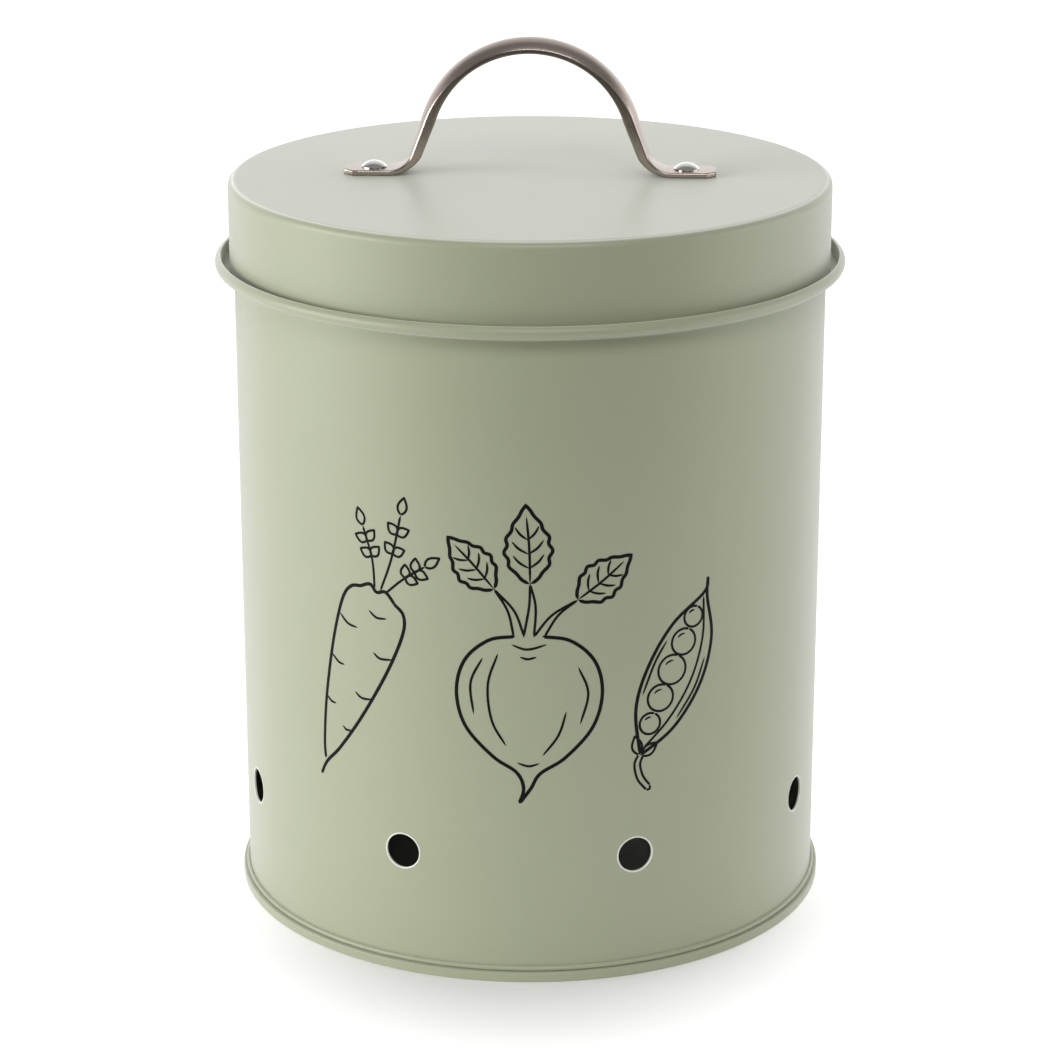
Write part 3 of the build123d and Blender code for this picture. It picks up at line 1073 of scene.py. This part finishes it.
for stalk, leaf_degrees, leaf_length, leaf_half in beet_leaves:
    leaf_turn = math.radians(leaf_degrees)
    foot = placed(stalk[-1], beet_place)
    # A stalk is two lines a little apart that close in on the leaf
    for shift in (-0.9, 0.9):
        edge = [(x + shift * spread, z) for (x, z), spread in zip(stalk, (1.6, 1, 0))]
        draw([edge], FINE, beet_place)
    draw([drop(leaf_length, leaf_half, 11, 0.07)], BOLD, foot, leaf_turn, curved=False)
    rib = [(0, 0), (0.3, 0.45 * leaf_length), (0, 0.86 * leaf_length)]
    draw([rib], FINE, foot, leaf_turn, lift=5)
    for share in (0.2, 0.38, 0.56):
        for way in (-1, 1):
            margin = math.sin(math.pi * (share + 0.12) ** LEAF_FULLNESS)
            reach = way * leaf_half * VEIN_REACH * margin
            start, end = share * leaf_length, (share + VEIN_RISE) * leaf_length
            vein = [(0, start), (0.6 * reach, start + 0.45 * (end - start)), (reach, end)]
            draw([vein], FINE, foot, leaf_turn, lift=3)
print(len(drawing), "strokes after the beetroot")

# %% The pea pod
pod_place = (45.5, 88)
pod_turn = math.radians(64)
pod_outline = [
    [(-25, 0), (-13, 7.4), (0, 9.4), (13, 7.6), (24, 1.8), (28.4, 2.6)],
    [(-25, 0), (-14, -6.4), (0, -9), (13, -6.6), (23, 0.2), (28.4, 2.6)],
]
pod_lip = [[(-23.2, 0.2), (-12, -3.8), (0, -5.4), (12, -3.6), (23, 1.6)]]
pod_stem = [
    [(-25, 0.6), (-28, 0.4), (-31.6, -2.4), (-33.6, -6.4)],
    [(-24.6, -0.8), (-27.4, -1.2), (-30.2, -3.6), (-32, -6.8)],
    [(-33.6, -6.4), (-33, -7.2), (-32, -6.8)],
]
pod_sepals = [((-24.8, 0.6), -52), ((-24.8, -0.6), -118)]
peas = [(-15.6, 1.4, 3.1), (-7.8, 1.7, 3.9), (0.7, 1.9, 4.3), (9.1, 2, 3.8), (16.6, 2.2, 3)]
pod_marks = [
    [(-12, -5.9), (-2, -7.6), (7, -7)],
    [(-9, 7.3), (1, 8), (8, 7.3)],
]
draw(pod_outline, BOLD, pod_place, pod_turn)
draw(pod_lip + pod_stem, FINE, pod_place, pod_turn)
draw(pod_marks, FINE, pod_place, pod_turn, lift=5)
for sepal_foot, sepal_degrees in pod_sepals:
    sepal = placed(drop(5.6, 1.5), sepal_foot, math.radians(sepal_degrees))
    draw([sepal], FINE, pod_place, pod_turn, curved=False)
full = np.linspace(0, 2 * math.pi, 49)
gleam = np.linspace(math.radians(15), math.radians(80), 13)
for x, z, radius in peas:
    ring = np.array([x, z]) + radius * np.stack([np.cos(full), np.sin(full)], axis=1)
    shine = np.array([x, z]) + 0.62 * radius * np.stack([np.cos(gleam), np.sin(gleam)], axis=1)
    draw([ring], FINE, pod_place, pod_turn, curved=False)
    draw([shine], 0.8 * FINE, pod_place, pod_turn, lift=1.5, curved=False)
print(len(drawing), "strokes after the pea pod")
add_piece("vegetable_print", drawing, SCREEN_INK, "tin")

# %% [markdown]
# The stage is plain: a white paper floor under the tin. Part of its white is light that falls
# on it, which the tin can shade, and part is given off. In front of the tin it gives off
# little, so that the soft shadow shows. Everywhere else the camera sees plain white, and so
# does what metal mirrors. Towards the camera the paper lies in the dark part of the studio,
# which the handle mirrors, though the camera sees white there as well.

# %% Floor
FLOOR_RADIUS = 5.0
FIRST_RING = 0.1

ring_radii = np.concatenate([[0], np.geomspace(FIRST_RING, FLOOR_RADIUS, 12)]) / MM
floor_grid = turned(np.stack([ring_radii, np.zeros(len(ring_radii))], axis=1), round_small)
floor_corners, floor_quads = patch(floor_grid, round_rows=True)
floor_mesh = bpy.data.meshes.new("studio_floor")
floor_mesh.from_pydata((floor_corners * MM).tolist(), [], floor_quads.tolist())
floor = bpy.data.objects.new("studio_floor", floor_mesh)
bpy.context.scene.collection.objects.link(floor)
print("floor in place,", len(floor_quads), "faces")

# %% The floor's paper
PAPER_GRAIN = 2.5
# From here on distances are in metres, as Object coordinates are
GLOW_GIVEN = 0.02
GIVEN_REACH = (0.14, 0.5)
GLOW_SHOWN = (0.0, 0.65)
SHADOW_MIDDLE = (0.0, -0.045, 0.0)
SHADOW_REACH = (0.046, 0.111)
DARK_PART = (-0.5, -0.3)
FAR_PART = (-0.4, -0.2)

floor_material, floor_tree, floor_place = new_material("white_paper_floor")
paper = add_node(
    floor_tree, "ShaderNodeTexNoise", {"Vector": floor_place, "Scale": 1 / (PAPER_GRAIN * MM)}
).outputs["Fac"]
paper_white = add_node(
    floor_tree, "ShaderNodeMix", between(paper, "#F2F2F2", "#F6F6F6"), data_type="RGBA"
).outputs[2]
depth_in_room = add_node(floor_tree, "ShaderNodeSeparateXYZ", {0: floor_place}).outputs["Y"]
from_tin = add_node(
    floor_tree, "ShaderNodeVectorMath", {0: floor_place}, operation="LENGTH"
).outputs["Value"]
from_shadow = add_node(
    floor_tree, "ShaderNodeVectorMath", {0: floor_place, 1: SHADOW_MIDDLE}, operation="DISTANCE"
).outputs["Value"]
in_light, glow_given, glow_mirrored, glow_far = (
    add_node(floor_tree, "ShaderNodeMapRange", ramp(source, span, values)).outputs["Result"]
    for source, span, values in (
        (depth_in_room, DARK_PART, (0.0, 1.0)),
        (from_tin, GIVEN_REACH, (GLOW_GIVEN, 0.0)),
        (from_shadow, SHADOW_REACH, GLOW_SHOWN),
        (depth_in_room, FAR_PART, (1.0, 0.0)),
    )
)
# Painted shade: in the dark part the paper's own colour is painted dark grey
floor_colour = add_node(
    floor_tree,
    "ShaderNodeMix",
    {"Factor": in_light, 6: linear("#404040"), 7: paper_white},
    data_type="RGBA",
).outputs[2]
glow_seen = add_node(
    floor_tree, "ShaderNodeMath", {0: glow_mirrored, 1: glow_far}, operation="MAXIMUM"
).outputs["Value"]
rays = add_node(floor_tree, "ShaderNodeLightPath").outputs
mirrored_ray = add_node(
    floor_tree,
    "ShaderNodeMath",
    {0: rays["Is Glossy Ray"], 1: rays["Is Transmission Ray"]},
    operation="MAXIMUM",
).outputs["Value"]
mirrored_in_light = add_node(
    floor_tree, "ShaderNodeMath", {0: mirrored_ray, 1: in_light}, operation="MULTIPLY"
).outputs["Value"]
# First what lamps and mirrors meet, then what the camera does
glow = glow_given
for factor, other in ((mirrored_in_light, glow_mirrored), (rays["Is Camera Ray"], glow_seen)):
    glow = add_node(
        floor_tree, "ShaderNodeMix", {"Factor": factor, "A": glow, "B": other}
    ).outputs["Result"]
lit = add_node(floor_tree, "ShaderNodeBsdfDiffuse", {"Color": floor_colour}).outputs["BSDF"]
given = add_node(floor_tree, "ShaderNodeEmission", {"Strength": glow}).outputs["Emission"]
both = add_node(floor_tree, "ShaderNodeAddShader", {0: lit, 1: given}).outputs["Shader"]
add_node(floor_tree, "ShaderNodeOutputMaterial", {"Surface": both})
floor_mesh.materials.append(floor_material)
print("made", floor_material.name)

# %% [markdown]
# The surround is pale walls under a dim ceiling. Behind the tin the wall stays bright further
# up, and that is what the lid's top and the top of the handle mirror. The photographer's side
# of the room is dark, both as a light and in the metal. The camera alone sees plain white all
# round, at a strength of 1.

# %% Surround
WALL_LEVEL = 0.8
CEILING_LEVEL = 0.26
FRONT_LEVEL = 0.2
FRONT_EDGE = (-math.cos(math.radians(30)), -math.cos(math.radians(65)))
WALL_TOP = (math.sin(math.radians(12)), math.sin(math.radians(42)))
HALO_LEVEL = 0.66
HALO_WAY = (0.0, math.cos(math.radians(20)), math.sin(math.radians(20)))
HALO_EDGE = (math.cos(math.radians(60)), math.cos(math.radians(24)))

world = bpy.data.worlds.new("white_surround")
bpy.context.scene.world = world
world.use_nodes = True
sky = world.node_tree
sky.nodes.clear()
way = add_node(sky, "ShaderNodeTexCoord").outputs["Generated"]
way_parts = add_node(sky, "ShaderNodeSeparateXYZ", {0: way}).outputs
towards_halo = add_node(
    sky, "ShaderNodeVectorMath", {0: way, 1: HALO_WAY}, operation="DOT_PRODUCT"
).outputs["Value"]
# Three soft steps: how bright by height, how bright by side, and the halo behind the tin
all_round, by_side, halo = (
    add_node(
        sky, "ShaderNodeMapRange", ramp(source, span, values), interpolation_type="SMOOTHSTEP"
    ).outputs["Result"]
    for source, span, values in (
        (way_parts["Z"], WALL_TOP, (WALL_LEVEL, CEILING_LEVEL)),
        (way_parts["Y"], FRONT_EDGE, (FRONT_LEVEL, 1.0)),
        (towards_halo, HALO_EDGE, (0.0, HALO_LEVEL)),
    )
)
light = add_node(
    sky, "ShaderNodeMath", {0: all_round, 1: by_side, 2: halo}, operation="MULTIPLY_ADD"
).outputs["Value"]
camera_ray = add_node(sky, "ShaderNodeLightPath").outputs["Is Camera Ray"]
level = add_node(
    sky, "ShaderNodeMath", {0: light, 1: camera_ray}, operation="MAXIMUM"
).outputs["Value"]
surround = add_node(
    sky, "ShaderNodeBackground", {"Color": (1.0, 1.0, 1.0, 1.0), "Strength": level}
).outputs["Background"]
add_node(sky, "ShaderNodeOutputWorld", {"Surface": surround})
print("surround in place")

# %% [markdown]
# Two large soft lamps stand beside the tin, low and upright, so that they light the wall as
# evenly at its foot as under the collar. The left one is the brighter and draws the broad pale
# band down that side, and the right one lifts the far side. A third hangs in front and above:
# it lights the middle and casts the shadow under the collar and the ones below the handle.

# %% Lamps
LAMP_LEVEL = 0.34
LAMP_TALL = 0.66


def soft_lamp(name, azimuth, distance, wide, brightness, rise=0):
    """A soft box. Its watts, brightness x pi x area, give its face that brightness."""
    lamp = bpy.data.lights.new(name, "AREA")
    lamp.shape = "RECTANGLE"
    lamp.size = wide
    lamp.size_y = LAMP_TALL
    lamp.energy = brightness * math.pi * wide * LAMP_TALL
    holder = bpy.data.objects.new(name, lamp)
    turn, lift = math.radians(azimuth), math.radians(rise)
    reach, level = distance * math.cos(lift), LAMP_LEVEL + distance * math.sin(lift)
    holder.location = (reach * math.sin(turn), -reach * math.cos(turn), level)
    holder.rotation_euler = (math.pi / 2 - lift, 0, turn)
    bpy.context.scene.collection.objects.link(holder)
    print(f"{name}: {lamp.energy:.1f} W")


soft_lamp("left_soft_box", -68, 1.4, 1.3, 5.3)
soft_lamp("right_soft_box", 95, 1.4, 1.3, 1.6)
soft_lamp("front_soft_box", 8, 1.9, 1.2, 4.9, rise=40)

# %% [markdown]
# The camera stands where the photographer's did: about 95 cm from the tin's axis, 41 cm above
# the floor, two degrees to the right of the front and tipped down by 18 degrees, with a long
# lens that takes in 18 degrees. These came from matching the ellipses of lid, collar and base.

# %% Camera
CAMERA_DISTANCE = 0.948
CAMERA_HEIGHT = 0.4152
CAMERA_AZIMUTH = math.radians(2.3)
CAMERA_PITCH = math.radians(18.13)
CAMERA_PAN = math.radians(0.024)

lens = bpy.data.cameras.new("camera")
lens.sensor_width = 36.0
lens.lens = 114.3
camera = bpy.data.objects.new("camera", lens)
camera.location = (
    CAMERA_DISTANCE * math.sin(CAMERA_AZIMUTH),
    -CAMERA_DISTANCE * math.cos(CAMERA_AZIMUTH),
    CAMERA_HEIGHT,
)
camera.rotation_euler = (math.pi / 2 - CAMERA_PITCH, 0, CAMERA_AZIMUTH - CAMERA_PAN)
bpy.context.scene.collection.objects.link(camera)
bpy.context.scene.camera = camera
bpy.context.scene.view_settings.view_transform = "Standard"
print("camera at", [round(v, 3) for v in camera.location])
